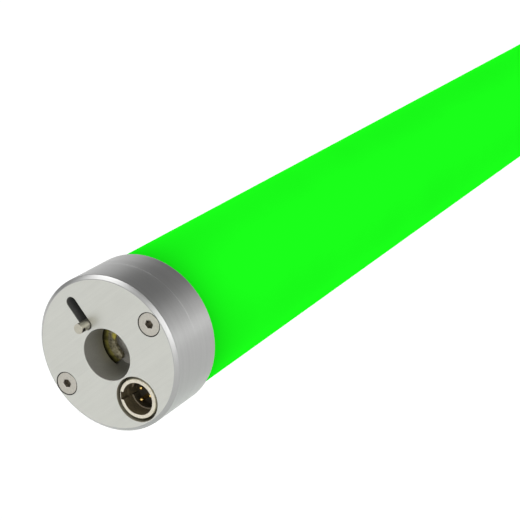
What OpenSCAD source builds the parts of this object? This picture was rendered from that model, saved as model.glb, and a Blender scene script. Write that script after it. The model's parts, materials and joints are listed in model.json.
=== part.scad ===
// Tube light with a spring-latched hanging socket.
// A lit diffuser tube lies along +X between two machined end caps. The front cap takes a hanging
// spigot in its central bore, holds it with a sprung fork that is drawn back by a pin in a slot,
// and carries the inlet socket. The origin is the centre of the bore in the front face.

/* [Tube] */
// Overall length over both end caps
total_len = 500; // [300:50:2000]
// Outer diameter of the diffuser tube
tube_od = 38; // [36:0.5:38]
// Wall of the diffuser tube
tube_wall = 2; // [1.5:0.1:2]

/* [End cap] */
// Diameter of both end caps
cap_d = 40; // [40:0.5:44]
// Thickness of the end plate that the screws go through
plate_t = 9.5; // [9.5:0.1:12]
// Visible length of the collar behind the end plate
collar_len = 7.8; // [7:0.1:10]
// Chamfer round the outer edge of the end plate
rim_chamfer = 0.9; // [0.4:0.1:1.5]
// Distance of the two cap screws from the axis
screw_radius = 16; // [15.8:0.1:16.2]
// How far the slot leans from upright
slot_tilt = 40; // [0:5:90]

/* [Latch] */
// Bore that takes the hanging spigot
bore_d = 13.3; // [12:0.1:13.4]
// Width of the slot that the latch pin runs in
slot_w = 2.8; // [2.8:0.1:3.2]
// Diameter of the latch pin
pin_d = 2.5; // [2:0.1:2.5]
// How far the latch pin stands out of the face
pin_out = 3.4; // [2:0.1:6]
// Travel of the latch from locked to open
travel = 6.3; // [5:0.1:6.3]
// Width of the notch that holds the neck of the spigot
notch_w = 6.8; // [6:0.1:7]
// Diameter of the head of the spigot, behind its neck
head_d = 10.8; // [10:0.1:11]
// Thickness of the latch fork
fork_t = 1.2; // [1:0.1:1.4]

/* [Inlet socket] */
// Distance of the socket from the axis
socket_radius = 12.9; // [12.8:0.05:12.95]
// Outer diameter of the socket barrel
barrel_od = 10.2; // [10:0.1:10.6]
// Inner diameter of the socket barrel
barrel_id = 8.3; // [8:0.1:8.4]
// Diameter of the recess round the barrel
recess_d = 11.6; // [11.2:0.1:11.7]
// Direction of the keyway round the barrel
key_angle = 39; // [0:1:360]
// Pitch circle of the three contacts
contact_pcd = 3.6; // [3.3:0.1:4]

/* [Light engine] */
// Side of the square aluminium spine
spine_side = 20; // [20:0.5:21]
// Wall of the spine
spine_wall = 1.5; // [1.2:0.1:1.6]
// Distance between neighbouring light chips
chip_pitch = 16.667; // [10:0.001:33.4]
// Length of the driver board
board_len = 72; // [70:1:90]

/* [Hidden] */
$fn = 72;
gap = 0.05;          // clearance between neighbouring solids
fit = 0.02;          // clearance of a thread or a close fit
over = 1;            // how far a cutter reaches past the face that it cuts

cap_r = cap_d / 2;
bore_r = bore_d / 2;
slot_r = slot_w / 2;
tube_r = tube_od / 2;
tube_ri = tube_r - tube_wall;
cap_len = plate_t + collar_len;
seam_chamfer = 0.03;

// Latch pocket, milled into the back of the front plate, with the fork lying at the back of it
pocket_z = plate_t - 1.7;
bore_len = pocket_z - 0.1;
fork_z = plate_t - gap - fork_t;
fork_w = 16;
fork_tip_y = -2.55;
lead_in_r = 5.2;
lead_in_z = 0.25;
pocket_end_y = -2.9;
shoulder_y = 7;
tail_w = 6;
tail_end_y = 11.2;
tip_corner = 0.6;
shoulder_corner = 0.4;
tail_corner = 1;
end_room = 0.2;
pin_y = 8.8;
pin_edge = 0.15;
pin_notch = [0.9, 0.5, 1];
pin_notch_z = 0.25;
pin_notch_turn = -40;
slot_y0 = pin_y - gap;
slot_y1 = slot_y0 + travel + 2 * gap;
side_gap = 0.15;

// Latch springs, one on each side of the pin
spring_x = 5.5;
spring_od = 2;
spring_wire = 0.3;
spring_room = 0.2;
spring_turns = 8;
spring_end_y = 16.4;
spring_z = plate_t - gap - spring_od / 2;
spring_start_y = shoulder_y + gap;

// Cap screws, M3 countersunk with a hexagon socket
m3_r = 1.5;
m3_clear_r = 1.7;
m3_head_r = 2.85;
m3_sink_r = 3.05;
m3_hex_af = 2;
m3_len = 12;
m3_land = 0.3;
m3_hex_depth = 1.5;
m3_edge = 0.1;
m3_tip = 0.4;
m3_tap_end = m3_len + 0.8;

// Collar and the plug that reaches into the tube
tube_start = cap_len - 3;
plug_r = tube_ri - gap;
lip_ri = tube_r + gap;
plug_end = 25;
plug_chamfer = 0.5;
lip_edge = 0.2;
floor_z = 11;
cavity_z = 15;
rear_cavity_z = 13;
cavity_r = 14.2;
groove_z = 19.4;
groove_w = 1.8;
groove_r = plug_r - 1.2;
seal_corner_r = 0.3;
seal_corner_z = 0.4;
nose_r = bore_r + 0.3;

// Inlet socket, along its own axis
barrel_z = 0.2;
mouth_edge = 0.15;
barrel_edge = 0.25;
barrel_shoulder = 3.2;
thread_r = 4.5;
barrel_end = 12.3;
insulator_z = 3.85;
insulator_floor = 6.3;
insulator_lip = 0.42;
insulator_end = 14.3;
insulator_boss_r = 3.4;
key_w = 2.1;
key_depth = 0.6;
key_cut = 1.2;
key_floor = barrel_shoulder - 0.4;
contact_r = 0.5;
contact_tip = 2.9;
cup_r = 0.8;
cup_end = 16.6;
cup_depth = 1.7;
nut_r = 5.4;
nut_t = 2.1;
nut_slot_w = 1.2;
nut_slot_depth = 0.85;
nut_room_r = 5.6;
nut_room_end = 12.5;
wire_room_r = 3.5;
wire_room_end = 18.7;
contact_angles = [for (k = [0:2]) key_angle + 60 + 120 * k];

// Spider, the end plate that joins the front of the spine to the front collar
spider_t = 2;
spider_r = 16.5;
spider_hole_r = 8;
m2_r = 1;
m2_circle = 15.6;
m2_depth = 3.4;
m2_len = spider_t + m2_depth - 0.4;
m2_head_r = 1.25;
m2_head_t = 1.1;
screw_clear = 0.2;
cross_w = 0.5;
m2_angles = [30, 150, 270];
spine_turn = -45;
spine_z0 = plug_end + spider_t;
spine_z1 = total_len - rear_cavity_z - gap;
spine_in = spine_side / 2 - spine_wall;
port_xy = spine_side / 2 - 2.4;
port_boss_r = 2.1;
rib_t = 1;
port_r = 1.05;
pan_r = 2;
pan_t = 1.5;
spine_screw_len = 10;
rib_w = 1.4;

// Light strips and driver
strip_w = 10;
strip_t = 0.3;
strip_inset = 2;
chip_side = 5;
chip_t = 1.6;
strip_z0 = spine_z0 + strip_inset;
strip_z1 = spine_z1 - strip_inset;
chips_per_strip = floor((strip_z1 - strip_z0 - 2 * chip_side) / chip_pitch) + 1;
chip_z0 = total_len / 2 - (chips_per_strip - 1) * chip_pitch / 2;
lead_r = 0.7;
board_y = -4.6;
board_t = 1.2;
board_top = board_y + board_t;
board_w = 2 * (spine_in - 0.2);
board_z = spine_z0 + 4;
lead_z = board_z + board_len - 8;
lead_turn = 4;
terminal = [11.4, 6.4, 8];
terminal_pitch = 3.81;
entry_r = 1.1;
entry_depth = 4;
clamp_r = 1.4;
clamp_depth = 2;
terminal_z = board_z + 1;
capacitor_r = 3;
capacitor_len = 10;
capacitor_z = board_z + 14;
wire_r = 0.55;
wire_sides = 8;
wire_rings = 14;
wire_ease = [0.06, 0.72];
wire_y = board_top + 3.1;

aluminium = [0.78, 0.78, 0.76];
steel = [0.72, 0.71, 0.69];
yellow_zinc = [0.55, 0.53, 0.30];
nickel = [0.80, 0.77, 0.70];
gold = [0.85, 0.66, 0.25];
black = [0.06, 0.06, 0.06];
lit_green = [0.10, 1.00, 0.10];
strip_white = [0.92, 0.92, 0.90];
chip_cream = [0.95, 0.90, 0.65];
board_green = [0.05, 0.30, 0.15];
wire_red = [0.70, 0.08, 0.06];
wire_white = [0.88, 0.88, 0.86];

// ---- Frames -----------------------------------------------------------------------------

// The cap's own frame: +Z goes into the tube, +Y runs from the axis along the slot.
module cap_frame() rotate([0, 90, 0]) rotate([0, 0, 90 - slot_tilt]) children();

module rear_frame() cap_frame() translate([0, 0, total_len]) mirror([0, 0, 1]) children();

module at_socket() translate([0, -socket_radius, 0]) children();

module spine_frame() cap_frame() rotate(spine_turn) children();

// The two opposite screw ports of the spine.
module at_ports() rotate(spine_turn) for (s = [-1, 1]) translate([s * port_xy, s * port_xy, 0]) children();

module at_m2() for (a = m2_angles) rotate(a) translate([m2_circle, 0, 0]) children();

module at_cap_screws() for (s = [-1, 1]) translate([s * screw_radius, 0, 0]) children();

// ---- Shapes that repeat -------------------------------------------------------------------

module disc(r, z0, z1) translate([0, 0, z0]) cylinder(r = r, h = z1 - z0);

module ring(ro, ri, z0, z1) difference() {
    disc(ro, z0, z1);
    disc(ri, z0 - over, z1 + over);
}

module block(x0, x1, y0, y1, z0, z1) translate([x0, y0, z0]) cube([x1 - x0, y1 - y0, z1 - z0]);

// A tube of n sides swept along a list of points that never runs along the direction up.
function unit(v) = v / norm(v);
function tangent(p, i) = unit(p[min(i + 1, len(p) - 1)] - p[max(i - 1, 0)]);
function ring_points(p, i, r, n, up) =
    let (t = tangent(p, i), u = unit(cross(t, up)), v = cross(t, u))
    [for (k = [0:n - 1]) p[i] + r * (cos(360 * k / n) * u + sin(360 * k / n) * v)];

module swept(p, r, n, up) {
    last = (len(p) - 1) * n;
    polyhedron(
        points = [for (i = [0:len(p) - 1]) each ring_points(p, i, r, n, up)],
        faces = concat(
            [[for (k = [0:n - 1]) k]],
            [for (i = [0:len(p) - 2], k = [0:n - 1])
                let (a = i * n + k, b = i * n + (k + 1) % n)
                [a, a + n, b + n, b]],
            [[for (k = [n - 1:-1:0]) last + k]]));
}

// ---- End caps -----------------------------------------------------------------------------

module plate_blank() rotate_extrude() polygon([
    [0, 0], [cap_r - rim_chamfer, 0], [cap_r, rim_chamfer],
    [cap_r, plate_t - seam_chamfer], [cap_r - seam_chamfer, plate_t], [0, plate_t]]);

// The spigot's hole: straight down to the latch, then opening slightly down to its floor.
module spigot_hole() rotate_extrude() polygon([
    [0, -over], [bore_r, -over], [bore_r, bore_len], [nose_r, floor_z], [0, floor_z]]);

module cap_screw_holes() at_cap_screws() {
    disc(m3_clear_r, -over, plate_t + over);
    disc(m3_sink_r, -over, m3_land / 2);
    translate([0, 0, m3_land / 2])
        cylinder(r1 = m3_sink_r, r2 = m3_clear_r, h = m3_sink_r - m3_clear_r);
}

module cap_screw() difference() {
    rotate_extrude() polygon([
        [0, gap], [m3_head_r - m3_edge, gap], [m3_head_r, gap + m3_edge],
        [m3_head_r, m3_land], [m3_r - fit, m3_land + m3_head_r - m3_r + fit],
        [m3_r - fit, m3_len - m3_tip], [m3_r - m3_tip, m3_len], [0, m3_len]]);
    translate([0, 0, -over]) cylinder(d = m3_hex_af / cos(30), h = over + m3_hex_depth, $fn = 6);
}

module cap_screws() color(steel) at_cap_screws() cap_screw();

// The latch pocket: room for the fork and its tail, and a channel for each spring.
module latch_pocket() {
    half = fork_w / 2 + side_gap;
    tail = tail_w / 2 + side_gap;
    block(-half, half, pocket_end_y, shoulder_y + travel + end_room, pocket_z, plate_t + over);
    block(-tail, tail, 0, tail_end_y + travel + end_room, pocket_z, plate_t + over);
    for (s = [-1, 1]) translate([s * spring_x, 0, 0])
        block(-spring_od / 2 - spring_room, spring_od / 2 + spring_room, shoulder_y - spring_room,
              spring_end_y, spring_z - spring_od / 2 - spring_room / 2, plate_t + over);
}

module latch_slot() {
    for (y = [slot_y0, slot_y1]) translate([0, y, 0]) disc(slot_r, -over, pocket_z + over);
    block(-slot_r, slot_r, slot_y0, slot_y1, -over, pocket_z + over);
}

module front_plate() color(aluminium) difference() {
    plate_blank();
    spigot_hole();
    latch_pocket();
    latch_slot();
    cap_screw_holes();
    at_socket() {
        disc(recess_d / 2, -over, barrel_shoulder);
        disc(thread_r + 0.1, 0, plate_t + over);
    }
}

module rear_plate() color(aluminium) difference() {
    plate_blank();
    cap_screw_holes();
}

// A collar holds the tube between its outer lip and the plug, and the screws run into its flange.
module collar_blank(inner_z) difference() {
    rotate_extrude() polygon([
        [0, plate_t], [cap_r - seam_chamfer, plate_t], [cap_r, plate_t + seam_chamfer],
        [cap_r, cap_len - lip_edge], [cap_r - lip_edge, cap_len], [lip_ri, cap_len],
        [lip_ri, tube_start - gap], [plug_r, tube_start - gap],
        [plug_r, groove_z], [groove_r, groove_z], [groove_r, groove_z + groove_w],
        [plug_r, groove_z + groove_w], [plug_r, plug_end - plug_chamfer], [plug_r - plug_chamfer, plug_end],
        [0, plug_end]]);
    disc(cavity_r, inner_z, plug_end + over);
    at_cap_screws() disc(m3_r, plate_t - over, m3_tap_end);
}

module front_collar() color(aluminium) difference() {
    collar_blank(cavity_z);
    spigot_hole();
    at_m2() disc(m2_r, plug_end - m2_depth, plug_end + over);
    at_socket() {
        disc(nut_room_r, plate_t - over, nut_room_end);
        disc(wire_room_r, plate_t - over, wire_room_end);
    }
}

// The rear collar is screwed straight onto the end of the spine, under the rear plate.
module rear_collar() color(aluminium) difference() {
    collar_blank(rear_cavity_z);
    at_ports() {
        disc(port_r + screw_clear, plate_t - over, rear_cavity_z + over);
        disc(pan_r + screw_clear, plate_t - over, plate_t + pan_t + screw_clear);
    }
}

// A rubber ring pressed flat between the groove and the tube.
module seal_ring() color(black) rotate_extrude() {
    z0 = groove_z + gap;
    z1 = groove_z + groove_w - gap;
    r0 = groove_r + fit / 2;
    r1 = tube_ri - fit / 2;
    cr = seal_corner_r;
    cz = seal_corner_z;
    polygon([[r0 + cr, z0], [r1 - cr, z0], [r1, z0 + cz], [r1, z1 - cz],
             [r1 - cr, z1], [r0 + cr, z1], [r0, z1 - cz], [r0, z0 + cz]]);
}

// ---- Latch --------------------------------------------------------------------------------

// Locked, the notch holds the neck of the spigot. Drawn back, the wide mouth clears its head.
module fork_outline() difference() {
    half = fork_w / 2;
    tail = tail_w / 2;
    polygon([
        [-half, fork_tip_y + tip_corner], [-half + tip_corner, fork_tip_y],
        [half - tip_corner, fork_tip_y], [half, fork_tip_y + tip_corner],
        [half, shoulder_y - shoulder_corner], [half - shoulder_corner, shoulder_y],
        [tail, shoulder_y], [tail, tail_end_y - tail_corner],
        [tail - tail_corner, tail_end_y], [-tail + tail_corner, tail_end_y],
        [-tail, tail_end_y - tail_corner], [-tail, shoulder_y],
        [-half + shoulder_corner, shoulder_y], [-half, shoulder_y - shoulder_corner]]);
    circle(d = notch_w);
    translate([-notch_w / 2, fork_tip_y - over]) square([notch_w, over - fork_tip_y]);
    translate([0, -travel]) circle(r = head_d / 2 + 2 * gap);
    translate([0, pin_y]) circle(d = pin_d + fit);
}

// A cone round the notch leads the head of the spigot in.
module latch_fork() color(yellow_zinc) translate([0, 0, fork_z]) difference() {
    linear_extrude(fork_t) fork_outline();
    rotate_extrude() polygon([
        [0, -over], [lead_in_r, -over], [lead_in_r, 0], [notch_w / 2, lead_in_z], [0, lead_in_z]]);
}

// The pin has a small notch near its tip, on a side towards the bore.
module latch_pin() color(steel) translate([0, pin_y, 0]) difference() {
    rotate_extrude() polygon([
        [0, -pin_out], [pin_d / 2 - pin_edge, -pin_out], [pin_d / 2, pin_edge - pin_out],
        [pin_d / 2, fork_z + fork_t], [0, fork_z + fork_t]]);
    rotate(pin_notch_turn)
        translate([-pin_notch.x / 2, pin_notch.y - pin_d * 3 / 2, pin_notch_z - pin_out])
            cube([pin_notch.x, pin_d, pin_notch.z]);
}

function spring_path(turns, y0, y1, r) = let (steps = 12 * turns)
    [for (i = [0:steps]) let (a = 360 * turns * i / steps)
        [r * cos(a), y0 + (y1 - y0) * i / steps, r * sin(a)]];

module latch_spring(side) color(steel) translate([side * spring_x, 0, spring_z])
    swept(spring_path(spring_turns, spring_start_y + spring_wire / 2,
                      spring_end_y - gap - spring_wire / 2, (spring_od - spring_wire) / 2),
          spring_wire / 2, 6, [0, 1, 0]);

// ---- Inlet socket -------------------------------------------------------------------------

module keyway(z0, z1) rotate(key_angle)
    block(barrel_id / 2 - key_cut, barrel_id / 2 + key_depth, -key_w / 2, key_w / 2, z0, z1);

module socket_shell() color(nickel) at_socket() difference() {
    rotate_extrude() polygon([
        [barrel_id / 2, barrel_z + mouth_edge], [barrel_id / 2 + mouth_edge, barrel_z],
        [barrel_od / 2 - barrel_edge, barrel_z], [barrel_od / 2, barrel_z + barrel_edge],
        [barrel_od / 2, barrel_shoulder - gap], [thread_r, barrel_shoulder - gap],
        [thread_r, barrel_end], [barrel_id / 2, barrel_end]]);
    keyway(barrel_z - over, key_floor);
}

module socket_insulator() color(black) at_socket() difference() {
    union() {
        disc(barrel_id / 2 - fit, insulator_z, barrel_end);
        disc(insulator_boss_r, barrel_end, insulator_end);
    }
    disc(barrel_id / 2 - insulator_lip, insulator_z - over, insulator_floor);
    keyway(insulator_z - over, insulator_floor);
    for (a = contact_angles) rotate(a) translate([contact_pcd / 2, 0, 0])
        disc(contact_r + fit / 2, insulator_floor - over, insulator_end + over);
}

module socket_contact() {
    rotate_extrude() polygon(concat(
        [for (a = [90:-15:0]) [contact_r * cos(a), contact_tip + contact_r * (1 - sin(a))]],
        [[contact_r, insulator_end], [0, insulator_end]]));
    difference() {
        disc(cup_r, insulator_end, cup_end);
        disc(wire_r, cup_end - cup_depth, cup_end + over);
    }
}

module socket_contacts() color(gold) at_socket()
    for (a = contact_angles) rotate(a) translate([contact_pcd / 2, 0, 0]) socket_contact();

module socket_nut() color(nickel) at_socket() difference() {
    end = plate_t + gap + nut_t;
    ring(nut_r, thread_r + fit, plate_t + gap, end);
    for (a = [0, 90]) rotate(a)
        block(-nut_r - over, nut_r + over, -nut_slot_w / 2, nut_slot_w / 2,
              end - nut_slot_depth, end + over);
}

// ---- Spine and what holds it --------------------------------------------------------------

module spider() color(aluminium) difference() {
    disc(spider_r, plug_end + gap, spine_z0 - gap);
    disc(spider_hole_r, plug_end - over, spine_z0 + over);
    at_m2() disc(m2_r + screw_clear / 2, plug_end - over, spine_z0 + over);
    at_ports() disc(port_r + screw_clear, plug_end - over, spine_z0 + over);
}

// A pan-headed screw: the underside of its head is at z = 0 and its shank runs towards +Z.
module pan_screw(head_r, head_t, r, length) difference() {
    union() {
        disc(head_r, -head_t, 0);
        disc(r, 0, length);
    }
    for (a = [0, 90]) rotate(a)
        block(-head_r * 0.6, head_r * 0.6, -cross_w / 2, cross_w / 2, -head_t - over, -head_t * 0.4);
}

module spider_screws() color(steel) at_m2() translate([0, 0, spine_z0]) mirror([0, 0, 1])
    pan_screw(m2_head_r, m2_head_t, m2_r - fit, m2_len);

// The front pair holds the spider to the spine, and the rear pair holds the rear collar to it.
module spine_screws(z) color(steel) at_ports() translate([0, 0, z])
    pan_screw(pan_r, pan_t, port_r - fit, spine_screw_len);

module spine_section() difference() {
    union() {
        difference() {
            square(spine_side, center = true);
            square(2 * spine_in, center = true);
        }
        for (sx = [-1, 1], sy = [-1, 1]) translate([sx * port_xy, sy * port_xy]) circle(r = port_boss_r);
        for (s = [-1, 1], y = [board_y - 2 * gap - rib_t, board_top + 2 * gap])
            translate([s * (spine_in - 0.5) - rib_w / 2, y]) square([rib_w, rib_t]);
    }
    for (sx = [-1, 1], sy = [-1, 1]) translate([sx * port_xy, sy * port_xy]) circle(r = port_r);
}

// A round bar across the spine at the leads, from y0 to y1.
module cross_bar(r, y0, y1) translate([0, y0, lead_z]) rotate([-90, 0, 0]) cylinder(r = r, h = y1 - y0);

module led_spine() color(aluminium) difference() {
    translate([0, 0, spine_z0]) linear_extrude(spine_z1 - spine_z0) spine_section();
    for (k = [0:3]) rotate(90 * k) cross_bar(lead_r + 0.2, spine_in - over, spine_side / 2 + over);
}

module diffuser_tube() color(lit_green) ring(tube_r, tube_ri, tube_start, total_len - tube_start);

// ---- Light strips, driver and wiring ------------------------------------------------------

module led_strip(k) color(strip_white) rotate(90 * k) difference() {
    block(-strip_w / 2, strip_w / 2, spine_side / 2 + fit, spine_side / 2 + strip_t, strip_z0, strip_z1);
    cross_bar(lead_r + fit, spine_side / 2 - over, spine_side / 2 + strip_t + over);
}

module led_chips(k) color(chip_cream) rotate(90 * k) for (i = [0:chips_per_strip - 1])
    translate([0, spine_side / 2 + strip_t + fit / 2, chip_z0 + i * chip_pitch])
        block(-chip_side / 2, chip_side / 2, 0, chip_t, -chip_side / 2, chip_side / 2);

// A lead runs from each strip through the spine: two straight to the board's faces, and two
// that turn down to it from the sides.
module strip_leads() color(wire_white) {
    outer = spine_side / 2 + strip_t - fit / 2;
    cross_bar(lead_r, board_top + fit, outer);
    cross_bar(lead_r, -outer, board_y - fit);
    for (s = [-1, 1]) {
        rotate(90 * s) cross_bar(lead_r, lead_turn, outer);
        translate([-s * lead_turn, 0, lead_z]) sphere(lead_r);
        translate([-s * lead_turn, 0, 0]) cross_bar(lead_r, board_top + fit, 0);
    }
}

module driver_board() color(board_green)
    block(-board_w / 2, board_w / 2, board_y, board_top, board_z, board_z + board_len);

module driver_terminal() color(board_green) translate([0, board_top + fit, terminal_z]) difference() {
    block(-terminal.x / 2, terminal.x / 2, 0, terminal.y, 0, terminal.z);
    for (i = [-1:1]) translate([i * terminal_pitch, 0, 0]) {
        translate([0, wire_y - board_top, 0]) disc(entry_r, -over, entry_depth);
        translate([0, terminal.y - clamp_depth, terminal.z / 2]) rotate([-90, 0, 0])
            cylinder(r = clamp_r, h = clamp_depth + over);
    }
}

// The capacitor's can lies on the board, with its crimped neck towards the front cap.
module driver_capacitor() color(black) translate([0, board_top + capacitor_r + gap, capacitor_z])
    rotate_extrude() polygon([
        [0, 0], [capacitor_r - 0.3, 0], [capacitor_r, 0.3], [capacitor_r, 1.2], [capacitor_r - 0.2, 1.5],
        [capacitor_r, 1.8], [capacitor_r, capacitor_len], [0, capacitor_len]]);

// Driver chips on the board: centre across, start along, width, height, length.
driver_parts = [[0, 30, 5, 1.6, 5], [-4.5, 38, 3, 1.2, 3], [4.5, 38, 3, 1.2, 3],
                [0, 46, 6, 2.8, 6], [-4, 56, 4, 1.5, 5], [4, 56, 4, 1.5, 5]];

module driver_chips() color(black) for (p = driver_parts)
    translate([p[0], board_top, board_z + p[1]]) block(-p[2] / 2, p[2] / 2, fit, p[3], 0, p[4]);

// A wire leaves its solder cup and eases across to its terminal on a smooth S-curve.
function ease(t) = t * t * (3 - 2 * t);
function wire_path(a, x1) = let (
        start = [contact_pcd / 2 * cos(a), contact_pcd / 2 * sin(a) - socket_radius],
        end = [x1 * cos(spine_turn) - wire_y * sin(spine_turn),
               x1 * sin(spine_turn) + wire_y * cos(spine_turn)],
        z0 = cup_end - cup_depth + 0.4,
        z1 = terminal_z + entry_depth - 1.5)
    [for (i = [0:wire_rings])
        let (t = i / wire_rings,
             s = ease(max(0, min(1, (t - wire_ease[0]) / (wire_ease[1] - wire_ease[0])))))
        [start.x + (end.x - start.x) * s, start.y + (end.y - start.y) * s, z0 + (z1 - z0) * t]];

module wire(k, x1) swept(wire_path(contact_angles[k], x1), wire_r - gap / 2, wire_sides, [1, 0, 0]);

// ---- The nodes ----------------------------------------------------------------------------

cap_frame() front_plate();
cap_frame() front_collar();
cap_frame() cap_screws();  // front_cap_screws
cap_frame() seal_ring();  // front_seal_ring
cap_frame() latch_fork();
cap_frame() latch_pin();
cap_frame() latch_spring(1);  // latch_spring_left
cap_frame() latch_spring(-1);  // latch_spring_right
cap_frame() socket_shell();
cap_frame() socket_insulator();
cap_frame() socket_contacts();
cap_frame() socket_nut();
cap_frame() spider();  // front_spider
cap_frame() spider_screws();  // front_spider_screws
cap_frame() spine_screws(plug_end);  // front_spine_screws
cap_frame() diffuser_tube();
spine_frame() led_spine();
spine_frame() driver_board();
spine_frame() driver_terminal();
spine_frame() driver_capacitor();
spine_frame() driver_chips();
cap_frame() color(wire_red) wire(1, -terminal_pitch);  // supply_wire_red
cap_frame() color(black) wire(0, 0);  // supply_wire_black
cap_frame() color(wire_white) wire(2, terminal_pitch);  // data_wire_white
spine_frame() strip_leads();
rear_frame() rear_plate();
rear_frame() rear_collar();
rear_frame() cap_screws();  // rear_cap_screws
rear_frame() seal_ring();  // rear_seal_ring
rear_frame() spine_screws(plate_t + pan_t + 0.15);  // rear_spine_screws
for (k = [1:4]) {
    spine_frame() led_strip(k);
    spine_frame() led_chips(k);
}
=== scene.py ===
"""Looks for the tube light: finely cut pieces, materials, a pale studio and the camera.

The CAD frame is in metres: its origin is the centre of the bore in the front cap's face, +X runs along
the tube and +Z is up. Pieces are built in the cap's own frame, in mm: +Z goes into the tube, +Y runs
from the axis along the latch slot, and +X points at a cap screw.
"""
import json
import math

import bmesh
import bpy
from mathutils import Matrix, Vector


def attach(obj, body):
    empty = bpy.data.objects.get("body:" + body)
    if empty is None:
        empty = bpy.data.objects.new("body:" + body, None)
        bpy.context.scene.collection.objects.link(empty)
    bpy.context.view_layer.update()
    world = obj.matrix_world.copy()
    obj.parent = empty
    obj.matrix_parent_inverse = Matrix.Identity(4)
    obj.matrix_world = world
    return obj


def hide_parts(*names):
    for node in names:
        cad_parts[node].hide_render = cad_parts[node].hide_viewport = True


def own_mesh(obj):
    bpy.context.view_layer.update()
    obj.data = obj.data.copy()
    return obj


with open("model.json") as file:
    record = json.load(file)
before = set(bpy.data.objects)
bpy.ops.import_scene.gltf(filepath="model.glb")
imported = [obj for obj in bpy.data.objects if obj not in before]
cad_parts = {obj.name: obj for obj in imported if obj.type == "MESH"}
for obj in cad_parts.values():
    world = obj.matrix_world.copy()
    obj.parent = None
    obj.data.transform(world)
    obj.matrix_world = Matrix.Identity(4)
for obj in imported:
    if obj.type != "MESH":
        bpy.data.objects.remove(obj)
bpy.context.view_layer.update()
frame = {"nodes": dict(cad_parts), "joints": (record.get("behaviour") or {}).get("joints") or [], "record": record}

MM = 0.001
NODES = frame["nodes"]

# ---- The cap's frame, and sizes measured on the CAD nodes -------------------------------------

SLIDE = next(joint for joint in frame["joints"] if joint["name"] == "latch_slide")
TUBE_DIR = Vector((1, 0, 0))
SLOT_DIR = Vector(SLIDE["axis"]).normalized()
SCREW_DIR = SLOT_DIR.cross(TUBE_DIR)
FRONT = Matrix((SCREW_DIR, SLOT_DIR, TUBE_DIR)).transposed().to_4x4() @ Matrix.Scale(MM, 4)
TO_FRONT = FRONT.inverted()


def measure(node):
    """A node's lowest and highest corners in the cap's frame, in mm."""
    points = [TO_FRONT @ vertex.co for vertex in NODES[node].data.vertices]
    low = Vector([min(point[k] for point in points) for k in range(3)])
    high = Vector([max(point[k] for point in points) for k in range(3)])
    return low, high


PLATE_HIGH = measure("front_plate")[1]
CAP_R = PLATE_HIGH.x
PLATE_T = PLATE_HIGH.z
PLUG_END = measure("front_collar")[1].z
TUBE_LOW, TUBE_HIGH = measure("diffuser_tube")
TUBE_R = TUBE_HIGH.x
TOTAL_LEN = measure("rear_plate")[1].z
REAR = FRONT @ Matrix.Translation((0, 0, TOTAL_LEN)) @ Matrix.Diagonal((1, 1, -1, 1))

SCREW_LOW, SCREW_HIGH = measure("front_cap_screws")
SCREW_HEAD_R = SCREW_HIGH.y
SCREW_AT = SCREW_HIGH.x - SCREW_HEAD_R

FORK_LOW, FORK_HIGH = measure("latch_fork")
PIN_LOW, PIN_HIGH = measure("latch_pin")
PIN_R = PIN_HIGH.x
PIN_Y = PIN_HIGH.y - PIN_R
SPRING_LOW, SPRING_HIGH = measure("latch_spring_left")
TRAVEL = SLIDE["range_m"][1] / MM

SHELL_LOW, SHELL_HIGH = measure("socket_shell")
SHELL_R = SHELL_HIGH.x
SOCKET_Y = SHELL_HIGH.y - SHELL_R
INSULATOR_LOW, INSULATOR_HIGH = measure("socket_insulator")
CONTACT_LOW, CONTACT_HIGH = measure("socket_contacts")

BORE = next(mount for mount in frame["record"]["mounts"] if mount["name"] == "spigot_bore")
BORE_R = BORE["dims"]["r_mm"]
BORE_LEN = BORE["dims"]["length_mm"]

# ---- Fine sizes in mm that no box gives ----------------------------------------------------------

EDGE = 0.07              # break on the mouths of holes
CORNER = 0.12            # rounding of outer corners
SMALL_CORNER = 0.08
REACH = 0.5              # how far a cutter starts before the face that it cuts
OVER = 1                 # how far a cutter goes past the end of what it cuts
FIT_GAP = 0.05           # between neighbouring pieces
CLOSE_FIT = 0.01         # between a pin and its hole
THREAD_FIT = 0.02        # between a thread and its hole
SLACK = 0.05             # in telling a face by where it lies

# Both caps: an end plate and a collar, whose plug reaches into the tube
RIM_CHAMFER = 0.9
SEAM_BREAK = 0.022
COLLAR_LEN = 7.8
CAP_LEN = PLATE_T + COLLAR_LEN
LIP_EDGE = 0.2
PLUG_CHAMFER = 0.5
GROOVE_Z = 19.4
GROOVE_W = 1.8
GROOVE_DEPTH = 1.2
CAVITY_R = 14.2
FRONT_CAVITY_Z = 15.0
REAR_CAVITY_Z = 13.0
TUBE_WALL = 2.0
TUBE_CORNER = 0.2

# Cap screws, M3 countersunk
SINK_R = 3.05
SINK_LAND = 0.15
SINK_EDGE = 0.04
SCREW_CLEAR_R = 1.7
SCREW_CORE_R = 1.5
SCREW_LAND_Z = 0.3
SCREW_TIP = 0.4
TAP_ROOM = 0.8
HEX_R = 2.0 / 2 / math.cos(math.radians(30))
HEX_DEPTH = 1.4

# Latch, and the pocket and slot that it runs in
NOSE_R = BORE_R + 0.3
FLOOR_Z = 11.0
POCKET_Z = PLATE_T - 1.7
POCKET_ROOM = 0.2
SIDE_ROOM = 0.15
TIP_ROOM = 0.35
SLOT_R = 1.4
SHOULDER_Y = SPRING_LOW.y - FIT_GAP
NOTCH_R = 3.4
MOUTH_R = 5.5
LEAD_IN_R = 5.2
LEAD_IN_Z = 0.25
TAIL_HALF = 3.0
FORK_CHAMFERS = (0.6, 0.4, 1.0)     # at its tips, shoulders and tail
PIN_CORNER = 0.15
PIN_NOTCH = (0.9, 0.5, 1.0)         # width, depth and length
PIN_NOTCH_Z = 0.25
PIN_NOTCH_ANGLE = math.radians(-40)
SPRING_WIRE = 0.3
SPRING_TURNS = 8

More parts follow.
